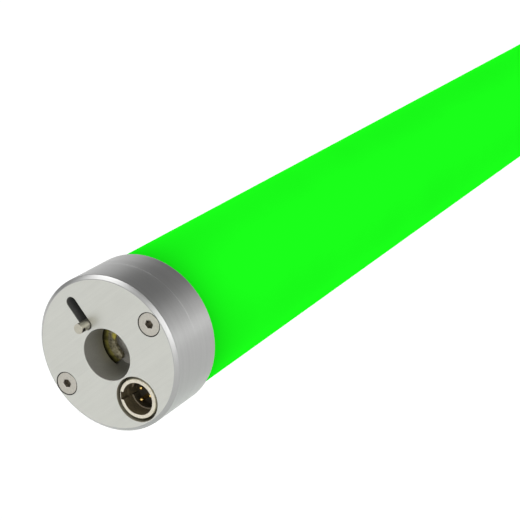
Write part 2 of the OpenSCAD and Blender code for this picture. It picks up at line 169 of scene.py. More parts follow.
# Inlet socket
RECESS_R = 5.8
RECESS_Z = 3.2
THREAD_R = 4.5
SHELL_RI = INSULATOR_HIGH.x + THREAD_FIT
SHELL_CHAMFER = (0.15, 0.2)
KEY_ANGLE = math.radians(39)
KEY_W = 2.1
KEY_DEPTH = 0.6
KEY_CUT = 1.2
KEY_END = RECESS_Z - 0.4
INSULATOR_FLOOR = 6.3
INSULATOR_LIP = 0.42
BOSS_R = 3.4
CONTACT_R = 0.5
CONTACT_CIRCLE_R = 1.8
CONTACT_ANGLES = [KEY_ANGLE + math.radians(60 + 120 * k) for k in range(3)]
CUP_R = 0.8
CUP_WALL = 0.25
CUP_FLOOR = 0.6
NUT_ROOM_R = 5.6
NUT_ROOM_END = 12.5
WIRE_ROOM_R = 3.5
WIRE_ROOM_END = 18.7

# Screws that hold the spine to the collars
SPIDER_SCREW_R = 1.0
SPIDER_SCREW_AT = 15.6
SPIDER_SCREW_Z = PLUG_END - 3.4
SPIDER_SCREW_ANGLES = [math.radians(30 + 120 * k) for k in range(3)]
PORT_AT = 10.75
PORT_R = 1.25
PORT_HEAD_R = 2.2
PORT_HEAD_Z = PLATE_T + 1.7

SMOOTH = 192             # sides of the big turned shapes
FINE = 96                # sides of holes and small turned shapes
WIRE_SIDES = 12
WIRE_STEPS = 32          # rings in each turn of a spring
SHARP = math.radians(28)


# ---- Mesh helpers --------------------------------------------------------------------------------

def circle(r, z, sides=FINE):
    return [(r * math.cos(a), r * math.sin(a), z)
            for a in (math.tau * (k + 0.5) / sides for k in range(sides))]


def stadium(r, z, y0, y1, sides=48):
    """A slot's outline: two half circles round (0, y1) and (0, y0)."""
    half = [math.pi * k / sides for k in range(sides + 1)]
    far = [(r * math.cos(a), y1 + r * math.sin(a), z) for a in half]
    near = [(-r * math.cos(a), y0 - r * math.sin(a), z) for a in half]
    return far + near


def rectangle(x0, x1, y0, y1, z):
    return [(x0, y0, z), (x1, y0, z), (x1, y1, z), (x0, y1, z)]


def loft(rings, hollow=False):
    """A closed solid through rings of equal point counts: flat at its ends, or joined up if hollow."""
    solid = bmesh.new()
    rows = [[solid.verts.new(point) for point in ring] for ring in rings]
    pairs = list(zip(rows, rows[1:]))
    if hollow:
        pairs.append((rows[-1], rows[0]))
    else:
        solid.faces.new(rows[0])
        solid.faces.new(rows[-1])
    for a, b in pairs:
        for k in range(len(a)):
            j = (k + 1) % len(a)
            solid.faces.new((a[k], a[j], b[j], b[k]))
    bmesh.ops.recalc_face_normals(solid, faces=solid.faces)
    return solid


def softened(profile, r, hollow=False, steps=3):
    """Breaks each corner of an outline of (radius, z) points with a small curve."""
    points = [Vector(point) for point in profile]
    count = len(points)
    result = []
    for k, corner in enumerate(points):
        if not hollow and k in (0, count - 1):
            result.append(corner)
            continue
        before = points[k - 1] - corner
        after = points[(k + 1) % count] - corner
        start = corner + before * min(r / before.length, 0.45)
        end = corner + after * min(r / after.length, 0.45)
        for i in range(steps + 1):
            t = i / steps
            result.append(start * (1 - t) ** 2 + corner * (2 * t * (1 - t)) + end * t ** 2)
    return result


def lathe(profile, sides=SMOOTH, hollow=False):
    """A solid turned round the cap's axis from (radius, z) points."""
    return loft([circle(r, z, sides) for r, z in profile], hollow)


def moved(solid, x=0.0, y=0.0):
    bmesh.ops.translate(solid, verts=solid.verts, vec=(x, y, 0))
    return solid


def turned(solid, angle):
    bmesh.ops.rotate(solid, verts=solid.verts, matrix=Matrix.Rotation(angle, 3, "Z"))
    return solid


def hole(r, z0, z1, x=0.0, y=0.0):
    """A cutter for a round hole from z0, whose mouth is broken, to z1."""
    return moved(lathe([(r + EDGE + REACH, z0 - REACH), (r, z0 + EDGE), (r, z1)], FINE), x, y)


def bar(r, z0, z1, x=0.0, y=0.0):
    """A plain round cutter."""
    return moved(lathe([(r, z0), (r, z1)], FINE), x, y)


def block(x0, x1, y0, y1, z0, z1):
    return loft([rectangle(x0, x1, y0, y1, z0), rectangle(x0, x1, y0, y1, z1)])


def to_object(solid, name="part"):
    mesh = bpy.data.meshes.new(name)
    solid.to_mesh(mesh)
    solid.free()
    obj = bpy.data.objects.new(name, mesh)
    bpy.context.scene.collection.objects.link(obj)
    return obj


def evaluated(obj):
    """The solid that an object's modifiers give, with the object itself taken away."""
    solid = bmesh.new()
    solid.from_object(obj, bpy.context.evaluated_depsgraph_get())
    mesh = obj.data
    bpy.data.objects.remove(obj)
    bpy.data.meshes.remove(mesh)
    return solid


def carved(solid, cutters):
    """The solid after each cutter in turn is taken away from it."""
    body = to_object(solid)
    tools = [to_object(cutter, "cutter") for cutter in cutters]
    for tool in tools:
        boolean = body.modifiers.new("boolean", "BOOLEAN")
        boolean.operation = "DIFFERENCE"
        boolean.solver = "EXACT"
        boolean.object = tool
    result = evaluated(body)
    for tool in tools:
        evaluated(tool).free()
    return result


def bevelled(solid, width, segments=2):
    """The solid with every sharp edge rounded."""
    body = to_object(solid)
    bevel = body.modifiers.new("bevel", "BEVEL")
    bevel.width = width
    bevel.segments = segments
    bevel.limit_method = "ANGLE"
    bevel.angle_limit = SHARP
    return evaluated(body)


def joined(*solids):
    """Separate solids in one mesh."""
    result = bmesh.new()
    for solid in solids:
        mesh = bpy.data.meshes.new("part")
        solid.to_mesh(mesh)
        solid.free()
        result.from_mesh(mesh)
        bpy.data.meshes.remove(mesh)
    return result


def from_axis(point, y=0.0):
    """How far a point is from an axis along Z, at x = 0."""
    return math.hypot(point.x, point.y - y)


def from_screw(point):
    """How far a point is from the axis of the nearer cap screw."""
    return math.hypot(abs(point.x) - SCREW_AT, point.y)


def piece(name, solid, materials, nodes, body="root", place=FRONT, finish=None):
    """Puts a finished solid in the frame, in place of CAD nodes.

    finish(face) gives the material that a face takes, where there are several.
    """
    for face in solid.faces:
        face.smooth = True
        face.material_index = materials.index(finish(face)) if finish else 0
    bmesh.ops.transform(solid, matrix=place, verts=solid.verts)
    if place.determinant() < 0:
        bmesh.ops.reverse_faces(solid, faces=solid.faces)
    obj = to_object(solid, name)
    obj.data.set_sharp_from_angle(angle=SHARP)
    weighted = obj.modifiers.new("weighted", "WEIGHTED_NORMAL")
    weighted.keep_sharp = True
    for material in materials:
        obj.data.materials.append(material)
    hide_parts(*nodes)
    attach(obj, body)
    return obj


# ---- Material helpers ----------------------------------------------------------------------------

class Graph:
    """A node tree with short calls for making and linking nodes."""

    def __init__(self, tree):
        self.tree = tree
        tree.nodes.clear()
        self.coordinates = self.add("ShaderNodeTexCoord").outputs

    def add(self, kind, **settings):
        node = self.tree.nodes.new(kind)
        for key, value in settings.items():
            setattr(node, key, value)
        return node

    def link(self, source, target):
        self.tree.links.new(source, target)

    def put(self, socket, value):
        """Sets a socket to a plain value, or links it to another node's output."""
        if isinstance(value, bpy.types.NodeSocket):
            self.link(value, socket)
        else:
            socket.default_value = value

    def math(self, operation, a, b=0.0):
        node = self.add("ShaderNodeMath", operation=operation)
        self.put(node.inputs[0], a)
        self.put(node.inputs[1], b)
        return node.outputs[0]

    def parts(self, vector):
        node = self.add("ShaderNodeSeparateXYZ")
        self.link(vector, node.inputs[0])
        return node.outputs

    def noise(self, vector, scale, detail=4.0, roughness=0.6):
        node = self.add("ShaderNodeTexNoise")
        self.link(vector, node.inputs["Vector"])
        node.inputs["Scale"].default_value = scale
        node.inputs["Detail"].default_value = detail
        node.inputs["Roughness"].default_value = roughness
        return node.outputs["Fac"]

    def ramp(self, factor, *stops):
        """Colours at places along 0 to 1: each stop is (place, colour)."""
        node = self.add("ShaderNodeValToRGB")
        self.link(factor, node.inputs["Fac"])
        elements = node.color_ramp.elements
        while len(elements) < len(stops):
            elements.new(0.5)
        for element, (place, colour) in zip(elements, stops):
            element.position = place
            element.color = (*colour, 1)
        return node.outputs["Color"]

    def mixed(self, factor, first, second):
        """A colour between the first, at a factor of 0, and the second, at 1."""
        node = self.add("ShaderNodeMixRGB")
        for socket, value in zip(node.inputs, (factor, first, second)):
            self.put(socket, value)
        return node.outputs["Color"]

    def span(self, value, low, high, to_low, to_high, smooth=False):
        """Maps a value from one range to another and clamps it."""
        node = self.add("ShaderNodeMapRange", interpolation_type="SMOOTHSTEP" if smooth else "LINEAR")
        for socket, item in zip(node.inputs[:5], (value, low, high, to_low, to_high)):
            self.put(socket, item)
        return node.outputs["Result"]


class Finish(Graph):
    """The node tree of a material with one main shader."""

    def __init__(self, name):
        self.material = bpy.data.materials.new(name)
        self.material.use_nodes = True
        super().__init__(self.material.node_tree)
        self.shader = self.add("ShaderNodeBsdfPrincipled")
        output = self.add("ShaderNodeOutputMaterial")
        self.link(self.shader.outputs["BSDF"], output.inputs["Surface"])
        self.place = self.coordinates["Object"]

    def set(self, **values):
        for key, value in values.items():
            self.put(self.shader.inputs[key.replace("_", " ")], value)

    def mapped(self, scale, turn=0.0):
        """The place along axes that are turned about X, and then scaled."""
        node = self.add("ShaderNodeMapping", vector_type="TEXTURE")
        self.link(self.place, node.inputs["Vector"])
        node.inputs["Scale"].default_value = [1 / factor for factor in scale]
        node.inputs["Rotation"].default_value = (turn, 0, 0)
        return node.outputs["Vector"]

    def shades(self, factor, colour, spread):
        """The colour a little darker and lighter as the factor varies."""
        dark = tuple(c * (1 - spread) for c in colour)
        light = tuple(min(1, c * (1 + spread)) for c in colour)
        return self.ramp(factor, (0.35, dark), (0.65, light))

    def bump(self, height, distance, strength=1.0):
        node = self.add("ShaderNodeBump")
        self.link(height, node.inputs["Height"])
        node.inputs["Distance"].default_value = distance
        node.inputs["Strength"].default_value = strength
        self.link(node.outputs["Normal"], self.shader.inputs["Normal"])


def dress(material, *nodes):
    """Gives a material to CAD nodes."""
    for name in nodes:
        mesh = NODES[name].data
        mesh.materials.clear()
        mesh.materials.append(material)


# ---- Materials -----------------------------------------------------------------------------------

def brushed_aluminium(name, colour, along, roughness=0.38):
    """Aluminium with fine straight brush lines along a direction in the YZ plane."""
    g = Finish(name)
    angle = math.atan2(along.z, along.y)
    lines = g.mapped(scale=(1, 0.05, 1.6), turn=angle)
    fine = g.noise(lines, 5200, detail=3)
    broad = g.noise(lines, 700, detail=3)
    patches = g.noise(g.place, 90, detail=2)
    mixed = g.math("ADD", g.math("MULTIPLY", fine, 0.45), g.math("MULTIPLY", broad, 0.35))
    mixed = g.math("ADD", mixed, g.math("MULTIPLY", patches, 0.2))
    g.set(Base_Color=g.shades(mixed, colour, 0.05), Metallic=1.0,
          Roughness=g.span(fine, 0.3, 0.7, roughness - 0.06, roughness + 0.08))
    g.bump(fine, 0.004 * MM, 0.6)
    return g.material


def turned_aluminium(name, colour, roughness=0.32):
    """Aluminium turned on a lathe: fine rings round the X axis, which stretch its gloss along X."""
    g = Finish(name)
    rings = g.noise(g.mapped(scale=(1, 0.004, 0.004)), 7000, detail=2)
    broad = g.noise(g.mapped(scale=(1, 0.02, 0.02)), 900, detail=2)
    mixed = g.math("ADD", g.math("MULTIPLY", rings, 0.6), g.math("MULTIPLY", broad, 0.4))
    tangent = g.add("ShaderNodeTangent", direction_type="RADIAL", axis="X").outputs["Tangent"]
    g.set(Base_Color=g.shades(mixed, colour, 0.05), Metallic=1.0, Anisotropic=0.65,
          Tangent=tangent,
          Roughness=g.span(rings, 0.3, 0.7, roughness - 0.04, roughness + 0.06))
    g.bump(rings, 0.002 * MM, 0.3)
    return g.material


def lit_diffuser():
    """Opal tube glowing green, a little dimmer between the light strips and close to the caps."""
    g = Finish("lit_diffuser")
    strips, first_strip = 4, math.radians(140)
    fade_len, fade_depth = 8 * MM, 0.4
    x, y, z = g.parts(g.place)
    cloud = g.noise(g.place, 30, detail=2)
    turn = g.math("SUBTRACT", g.math("ARCTAN2", z, y), first_strip)
    band = g.span(g.math("COSINE", g.math("MULTIPLY", turn, strips)), -1.0, 1.0, 0.91, 1.0)
    middle = TOTAL_LEN / 2 * MM
    half = middle - CAP_LEN * MM
    inset = g.math("SUBTRACT", half, g.math("ABSOLUTE", g.math("SUBTRACT", x, middle)))
    fade = g.math("EXPONENT", g.math("DIVIDE", inset, -fade_len))
    level = g.math("MULTIPLY", g.math("SUBTRACT", 1.0, g.math("MULTIPLY", fade, fade_depth)), band)
    level = g.math("MULTIPLY", level, g.span(cloud, 0.3, 0.7, 0.99, 1.0))
    g.set(Base_Color=g.ramp(cloud, (0.3, (0.001, 0.09, 0.001)), (0.7, (0.0012, 0.11, 0.0012))),
          Roughness=0.55, Specular_IOR_Level=0.0,
          Emission_Color=g.ramp(level, (0.0, (0.0, 0.0, 0.0)), (1.0, (0.0095, 0.95, 0.0095))),
          Emission_Strength=1.0)
    return g.material


def plain_metal(name, colour, roughness, spread=0.08, metallic=1.0):
    """Metal with faint mottling in colour and gloss."""
    g = Finish(name)
    mottle = g.noise(g.place, 2000, detail=3)
    g.set(Base_Color=g.shades(mottle, colour, spread), Metallic=metallic,
          Roughness=g.span(mottle, 0.3, 0.7, roughness * 0.8, roughness * 1.25))
    g.bump(mottle, 0.004 * MM, 0.4)
    return g.material


def moulded(name, colour, roughness=0.5):
    """Moulded plastic with a fine spark-eroded grain."""
    g = Finish(name)
    texture = g.noise(g.place, 6000, detail=3)
    g.set(Base_Color=g.shades(texture, colour, 0.1),
          Roughness=g.span(texture, 0.3, 0.7, roughness - 0.06, roughness + 0.08))
    g.bump(texture, 0.006 * MM, 0.4)
    return g.material


def yellow_zinc():
    """Chromated zinc: olive yellow, worn to a mottled grey brown on the cone round the notch, with painted shade
    that darkens it towards its rim under the bore's edge and a painted highlight on one prong.
    """
    g = Finish("yellow_zinc")
    shade_from, cone_r, worn_to = 5.6 * MM, (LEAD_IN_R + 0.1) * MM, (LEAD_IN_R + 0.6) * MM
    highlight_at, highlight_r, highlight_end = FRONT @ Vector((1.8, 2.9, FORK_LOW.z)), 0.6 * MM, 1.2 * MM
    cloud = g.noise(g.place, 900, detail=5)
    streak = g.noise(g.mapped(scale=(1, 0.6, 1)), 1500, detail=4)
    mixed = g.math("ADD", g.math("MULTIPLY", cloud, 0.6), g.math("MULTIPLY", streak, 0.4))
    _, y, z = g.parts(g.place)
    radius = g.math("SQRT", g.math("ADD", g.math("MULTIPLY", y, y), g.math("MULTIPLY", z, z)))
    edge = g.math("ADD", radius, g.math("MULTIPLY", cloud, 0.6 * MM))
    # painted shade: the plate turns almost black towards its rim, which lies under the bore's edge
    shade = g.span(radius, shade_from, BORE_R * MM, 1.0, 0.12)
    plated = g.ramp(mixed, (0.36, (0.12, 0.11, 0.025)), (0.5, (0.22, 0.20, 0.05)),
                    (0.66, (0.40, 0.36, 0.08)))
    worn = g.ramp(mixed, (0.38, (0.09, 0.08, 0.045)), (0.5, (0.24, 0.215, 0.14)),
                  (0.62, (0.42, 0.39, 0.26)))
    cone = g.span(edge, cone_r, worn_to, 0.0, 1.0)
    # painted highlight: a small light yellow patch on one prong, where light falls through the bore
    highlight_gap = g.add("ShaderNodeVectorMath", operation="DISTANCE")
    g.link(g.place, highlight_gap.inputs[0])
    highlight_gap.inputs[1].default_value = highlight_at
    painted_highlight = g.span(highlight_gap.outputs["Value"], highlight_r, highlight_end, 1.0, 0.0)
    colour = g.mixed(cone, worn, plated)
    colour = g.mixed(shade, (0.012, 0.011, 0.006, 1), colour)
    colour = g.mixed(painted_highlight, colour, (0.55, 0.48, 0.08, 1))
    g.set(Base_Color=colour, Metallic=0.8, Roughness=g.span(cloud, 0.3, 0.7, 0.32, 0.55))
    g.bump(streak, 0.02 * MM, 0.5)
    return g.material


face_metal = brushed_aluminium("brushed_aluminium", (0.55, 0.555, 0.515), SCREW_DIR)
side_metal = turned_aluminium("turned_aluminium", (0.37, 0.37, 0.365))
bored_metal = plain_metal("bored_aluminium", (0.315, 0.31, 0.28), 0.40, spread=0.06, metallic=0.5)
deep_metal = plain_metal("blasted_aluminium", (0.68, 0.66, 0.60), 0.45, spread=0.12, metallic=0.1)
# painted shade: near-black metal for the countersinks round the cap screws and the pin's notch, where shade falls
painted_shade_metal = plain_metal("sink_and_notch_painted_shade", (0.05, 0.048, 0.042), 0.6, metallic=0.3)
# painted shade: darker metal inside the screws' hexagon sockets
hex_shade_metal = plain_metal("hexagon_socket_painted_shade", (0.20, 0.175, 0.14), 0.4, spread=0.3, metallic=0.7)
# painted shade: darker metal on the walls of the latch slot
slot_shade_metal = plain_metal("slot_wall_painted_shade", (0.14, 0.14, 0.13), 0.45, metallic=0.4)
screw_metal = plain_metal("screw_nickel", (0.46, 0.44, 0.39), 0.35)
fork_metal = yellow_zinc()
pin_metal = plain_metal("pin_steel", (0.46, 0.44, 0.37), 0.42)
spring_metal = plain_metal("spring_steel", (0.55, 0.54, 0.52), 0.3)
nickel = plain_metal("cream_nickel", (0.64, 0.60, 0.50), 0.32)
barrel_metal = plain_metal("barrel_wall", (0.66, 0.62, 0.47), 0.45, metallic=0.2)
# painted shade: darker metal on the walls and floor of the socket's recess
socket_recess_shade_metal = plain_metal("socket_recess_painted_shade", (0.20, 0.185, 0.14), 0.5, metallic=0.3)
# painted shade: dark brown inside the socket's barrel
barrel_shade_metal = plain_metal("barrel_inside_painted_shade", (0.13, 0.105, 0.06), 0.45, spread=0.25, metallic=0.5)
gold = plain_metal("contact_gold", (0.83, 0.58, 0.20), 0.22)
insulator_black = moulded("insulator_black", (0.045, 0.036, 0.02), 0.45)
# painted light: a lighter brown copy of the insulator's plastic for the lit front of its lip
insulator_lit_lip = moulded("insulator_lip", (0.21, 0.175, 0.12), 0.5)
spine_metal = plain_metal("extruded_aluminium", (0.62, 0.62, 0.63), 0.4)

dress(screw_metal, "front_spider_screws", "front_spine_screws", "rear_spine_screws")
dress(nickel, "socket_nut")
dress(moulded("seal_rubber", (0.015, 0.015, 0.015), 0.8), "front_seal_ring", "rear_seal_ring")
dress(spine_metal, "led_spine", "front_spider")
dress(moulded("board_mask", (0.01, 0.10, 0.04), 0.3), "driver_board")
dress(moulded("terminal_green", (0.03, 0.22, 0.06), 0.5), "driver_terminal")
dress(moulded("part_black", (0.015, 0.015, 0.016), 0.4), "driver_capacitor", "driver_chips")
dress(moulded("wire_red", (0.5, 0.02, 0.015), 0.45), "supply_wire_red")
dress(moulded("wire_black", (0.01, 0.01, 0.01), 0.45), "supply_wire_black")
dress(moulded("wire_white", (0.75, 0.75, 0.72), 0.45), "data_wire_white", "strip_leads")
dress(moulded("strip_white", (0.82, 0.82, 0.80), 0.4), *[f"led_strip_{k}" for k in range(1, 5)])
dress(moulded("chip_lens", (0.80, 0.72, 0.35), 0.25), *[f"led_chips_{k}" for k in range(1, 5)])


# ---- End caps ------------------------------------------------------------------------------------

def plate_blank():
    """The end plate before it is drilled: a disc with a chamfered rim."""
    inner_r, rim_end = CAP_R - RIM_CHAMFER - 2, PLATE_T - 1
    rim = softened([(inner_r, 0), (CAP_R - RIM_CHAMFER, 0), (CAP_R, RIM_CHAMFER), (CAP_R, rim_end)],
                   CORNER)
    return lathe(rim + [(CAP_R, PLATE_T - SEAM_BREAK), (CAP_R - SEAM_BREAK, PLATE_T)])


def screw_sinks():
    """Cutters for the two countersunk screw holes."""
    cone_end = SINK_LAND + SINK_R - SCREW_CLEAR_R
    profile = [(SINK_R + SINK_EDGE + REACH, -REACH), (SINK_R, SINK_EDGE), (SINK_R, SINK_LAND),
               (SCREW_CLEAR_R, cone_end), (SCREW_CLEAR_R, PLATE_T + OVER)]
    return [moved(lathe(profile, FINE), x=side * SCREW_AT) for side in (-1, 1)]


def plate_finish(face):
    """Brushed on the face, turned round the rim, painted shade in the screw sinks, the socket's recess and the
    latch slot, and bored everywhere else.
    """
    middle = face.calc_center_median()
    outward = Vector((middle.x, middle.y, 0)).normalized()
    if middle.z < 0.001 and face.normal.z < -0.99:
        return face_metal
    if from_axis(middle) > CAP_R - RIM_CHAMFER - 0.2 and face.normal.dot(outward) > 0:
        return side_metal
    if from_screw(middle) < SINK_R + SLACK:
        return painted_shade_metal
    if from_axis(middle, y=SOCKET_Y) < RECESS_R + SLACK:
        return socket_recess_shade_metal
    in_slot = abs(middle.x) < SLOT_R + SLACK and middle.y > BORE_R and middle.z < POCKET_Z
    return slot_shade_metal if in_slot else bored_metal


def spigot_hole():
    """Straight down to the latch, then opening slightly down to its floor."""
    mouth_r = BORE_R + EDGE + REACH
    return lathe([(mouth_r, -REACH), (BORE_R, EDGE), (BORE_R, BORE_LEN), (NOSE_R, FLOOR_Z)])


def front_plate():
    back = PLATE_T + OVER
    half, tail = FORK_HIGH.x + SIDE_ROOM, TAIL_HALF + SIDE_ROOM
    moved_on = TRAVEL + POCKET_ROOM
    slot_y0, slot_y1 = PIN_Y - FIT_GAP, PIN_Y + TRAVEL + FIT_GAP
    spring_x0, spring_x1 = SPRING_LOW.x - POCKET_ROOM, SPRING_HIGH.x + POCKET_ROOM
    cutters = screw_sinks()
    cutters.append(spigot_hole())
    cutters.append(block(-half, half, FORK_LOW.y - TIP_ROOM, SHOULDER_Y + moved_on, POCKET_Z, back))
    cutters.append(block(-tail, tail, 0, FORK_HIGH.y + moved_on, POCKET_Z, back))
    for x0, x1 in ((-spring_x1, -spring_x0), (spring_x0, spring_x1)):
        cutters.append(block(x0, x1, SHOULDER_Y - POCKET_ROOM, SPRING_HIGH.y + FIT_GAP,
                             SPRING_LOW.z - POCKET_ROOM / 2, back))
    cutters.append(loft([stadium(SLOT_R + EDGE + REACH, -REACH, slot_y0, slot_y1),
                         stadium(SLOT_R, EDGE, slot_y0, slot_y1),
                         stadium(SLOT_R, POCKET_Z + REACH, slot_y0, slot_y1)]))
    cutters.append(hole(RECESS_R, 0, RECESS_Z, y=SOCKET_Y))
    cutters.append(bar(THREAD_R + 0.1, RECESS_Z - REACH, back, y=SOCKET_Y))
    return carved(plate_blank(), cutters)


def rear_plate():
    return carved(plate_blank(), screw_sinks())


def collar_blank(cavity_z):
    """A collar that holds the tube between its outer lip and the plug, before it is drilled."""
    plug_r = TUBE_R - TUBE_WALL - FIT_GAP
    lip_ri = TUBE_R + FIT_GAP
    seat_z = TUBE_LOW.z - FIT_GAP
    groove_r = plug_r - GROOVE_DEPTH
    seam = [(CAP_R - 2, PLATE_T), (CAP_R - SEAM_BREAK, PLATE_T)]
    lip = softened([(CAP_R, PLATE_T + SEAM_BREAK), (CAP_R, CAP_LEN - LIP_EDGE),
                    (CAP_R - LIP_EDGE, CAP_LEN), (lip_ri, CAP_LEN)], SMALL_CORNER)
    inner = [(lip_ri, seat_z), (plug_r, seat_z), (plug_r, GROOVE_Z), (groove_r, GROOVE_Z),
             (groove_r, GROOVE_Z + GROOVE_W), (plug_r, GROOVE_Z + GROOVE_W),
             (plug_r, PLUG_END - PLUG_CHAMFER), (plug_r - PLUG_CHAMFER, PLUG_END)]
    cutters = [bar(CAVITY_R, cavity_z, PLUG_END + OVER)]
    for side in (-1, 1):
        cutters.append(hole(SCREW_CORE_R, PLATE_T, SCREW_HIGH.z + TAP_ROOM, x=side * SCREW_AT))
    return carved(lathe(seam + lip + inner), cutters)


def collar_finish(face):
    """Turned where it shows, blasted on the floor of the spigot's hole, and bored elsewhere."""
    middle = face.calc_center_median()
    radius = from_axis(middle)
    if face.normal.z < -0.9 and radius < NOSE_R and abs(middle.z - FLOOR_Z) < SLACK:
        return deep_metal
    return side_metal if radius > TUBE_R and middle.z < CAP_LEN + SLACK else bored_metal


def front_collar():
    cutters = [spigot_hole(),
               bar(NUT_ROOM_R, PLATE_T - OVER, NUT_ROOM_END, y=SOCKET_Y),
               bar(WIRE_ROOM_R, PLATE_T - OVER, WIRE_ROOM_END, y=SOCKET_Y)]
    for angle in SPIDER_SCREW_ANGLES:
        screw_hole = bar(SPIDER_SCREW_R, SPIDER_SCREW_Z, PLUG_END + OVER, x=SPIDER_SCREW_AT)
        cutters.append(turned(screw_hole, angle))
    return carved(collar_blank(FRONT_CAVITY_Z), cutters)


def rear_collar():
    cutters = []
    for side in (-1, 1):
        cutters.append(bar(PORT_R, PLATE_T - OVER, REAR_CAVITY_Z + OVER, x=side * PORT_AT))
        cutters.append(bar(PORT_HEAD_R, PLATE_T - OVER, PORT_HEAD_Z, x=side * PORT_AT))
    return carved(collar_blank(REAR_CAVITY_Z), cutters)


def cap_screws():
    """Two M3 countersunk screws with a hexagon socket."""
    top, end = SCREW_LOW.z, SCREW_HIGH.z
    shank_r = SCREW_CORE_R - THREAD_FIT
    cone_z = SCREW_LAND_Z + SCREW_HEAD_R - shank_r
    profile = softened([(SCREW_HEAD_R - 0.8, top), (SCREW_HEAD_R, top), (SCREW_HEAD_R, SCREW_LAND_Z),
                        (shank_r, cone_z), (shank_r, end - SCREW_TIP), (shank_r - SCREW_TIP, end)],
                       CORNER)
    socket = [(HEX_R + EDGE + REACH, top - REACH), (HEX_R, top + EDGE), (HEX_R, top + HEX_DEPTH)]
    screws = [moved(carved(lathe(profile, FINE), [lathe(socket, 6)]), x=side * SCREW_AT)
              for side in (-1, 1)]
    return joined(*screws)


def screw_finish(face):
    """Painted shade inside the hexagon socket, plain elsewhere."""
    middle = face.calc_center_median()
    deep = SCREW_LOW.z + EDGE / 2 < middle.z < SCREW_LOW.z + HEX_DEPTH + EDGE
    return hex_shade_metal if deep and from_screw(middle) < HEX_R else screw_metal


def opal_tube():
    inner_r = TUBE_R - TUBE_WALL
    profile = softened([(inner_r, TUBE_LOW.z), (TUBE_R, TUBE_LOW.z), (TUBE_R, TUBE_HIGH.z),
                        (inner_r, TUBE_HIGH.z)], TUBE_CORNER, hollow=True)
    return lathe(profile, hollow=True)


plate_metals = [face_metal, side_metal, bored_metal, painted_shade_metal, socket_recess_shade_metal, slot_shade_metal]
piece("front_plate_cut", front_plate(), plate_metals, ["front_plate"], finish=plate_finish)
piece("front_collar_cut", front_collar(), [side_metal, bored_metal, deep_metal], ["front_collar"],
      finish=collar_finish)
piece("rear_plate_cut", rear_plate(), plate_metals, ["rear_plate"], place=REAR,
      finish=plate_finish)
piece("rear_collar_cut", rear_collar(), [side_metal, bored_metal], ["rear_collar"],
      place=REAR, finish=collar_finish)
piece("front_screws", cap_screws(), [screw_metal, hex_shade_metal], ["front_cap_screws"],
      finish=screw_finish)
piece("rear_screws", cap_screws(), [screw_metal, hex_shade_metal], ["rear_cap_screws"],
      place=REAR, finish=screw_finish)
piece("opal_tube", opal_tube(), [lit_diffuser()], ["diffuser_tube"])


# ---- Latch ---------------------------------------------------------------------------------------

def fork():
    """A plate with a tail for the pin, and a notch, with a cone round it, that widens into a mouth."""
    low, high = FORK_LOW, FORK_HIGH
    half, tail = high.x, TAIL_HALF
    tip, shoulder, end = FORK_CHAMFERS
    right = [(half - tip, low.y), (half, low.y + tip), (half, SHOULDER_Y - shoulder),
             (half - shoulder, SHOULDER_Y), (tail, SHOULDER_Y), (tail, high.y - end),
             (tail - end, high.y)]
    outline = right + [(-x, y) for x, y in reversed(right)]
    plate = loft([[(x, y, z) for x, y in outline] for z in (low.z, high.z)])
    below, above = low.z - OVER, high.z + OVER
    reach = 0.1
    slope = reach * (LEAD_IN_R - NOTCH_R) / LEAD_IN_Z
    cone = [(LEAD_IN_R + slope, low.z - reach), (NOTCH_R - slope, low.z + LEAD_IN_Z + reach)]
    cutters = [loft([stadium(NOTCH_R, z, -TRAVEL, 0) for z in (below, above)]),
               bar(MOUTH_R, below, above, y=-TRAVEL),
               bar(PIN_R + CLOSE_FIT, below, above, y=PIN_Y),
               lathe(cone, FINE)]
    return bevelled(carved(plate, cutters), CORNER)


def pin():
    """A round pin with a small notch near its tip."""
    tip = PIN_LOW.z
    width, depth, length = PIN_NOTCH
    notch_z = tip + PIN_NOTCH_Z
    profile = softened([(PIN_R - 0.5, tip), (PIN_R, tip), (PIN_R, PIN_HIGH.z)], PIN_CORNER)
    notch = block(-width / 2, width / 2, -PIN_R - OVER, depth - PIN_R, notch_z, notch_z + length)
    return moved(carved(lathe(profile, FINE), [turned(notch, PIN_NOTCH_ANGLE)]), y=PIN_Y)


def pin_finish(face):
    """Painted shade in the notch."""
    middle = face.calc_center_median()
    depth = middle.z - PIN_LOW.z - PIN_NOTCH_Z
    cut = from_axis(middle, y=PIN_Y) < PIN_R - SLACK and -SLACK < depth < PIN_NOTCH[2] + SLACK
    return painted_shade_metal if cut else pin_metal


def spring(side):
    """A round wire wound along Y, with flat cut ends."""
    centre_x, centre_z = side * (SPRING_LOW.x + SPRING_HIGH.x) / 2, (SPRING_LOW.z + SPRING_HIGH.z) / 2
    wire_r = SPRING_WIRE / 2
    coil_r = (SPRING_HIGH.z - SPRING_LOW.z) / 2 - wire_r
    y0, y1 = SPRING_LOW.y + wire_r, SPRING_HIGH.y - wire_r
    steps = WIRE_STEPS * SPRING_TURNS
    rings = []
    for k in range(steps + 1):
        angle = math.tau * SPRING_TURNS * k / steps
        outward = Vector((math.cos(angle), 0, math.sin(angle)))
        middle = Vector((centre_x, y0 + (y1 - y0) * k / steps, centre_z)) + outward * coil_r
        rings.append([middle + outward * (x * wire_r) + Vector((0, y * wire_r, 0))
                      for x, y, _ in circle(1, 0, WIRE_SIDES)])
    return loft(rings)


piece("latch_fork_plate", fork(), [fork_metal], ["latch_fork"], body="latch")
piece("latch_pin_turned", pin(), [pin_metal, painted_shade_metal], ["latch_pin"], body="latch",
      finish=pin_finish)
for side, node in ((1, "latch_spring_left"), (-1, "latch_spring_right")):
    coil = piece(node + "_wire", spring(side), [spring_metal], [node])
    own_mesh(coil)


# ---- Inlet socket --------------------------------------------------------------------------------

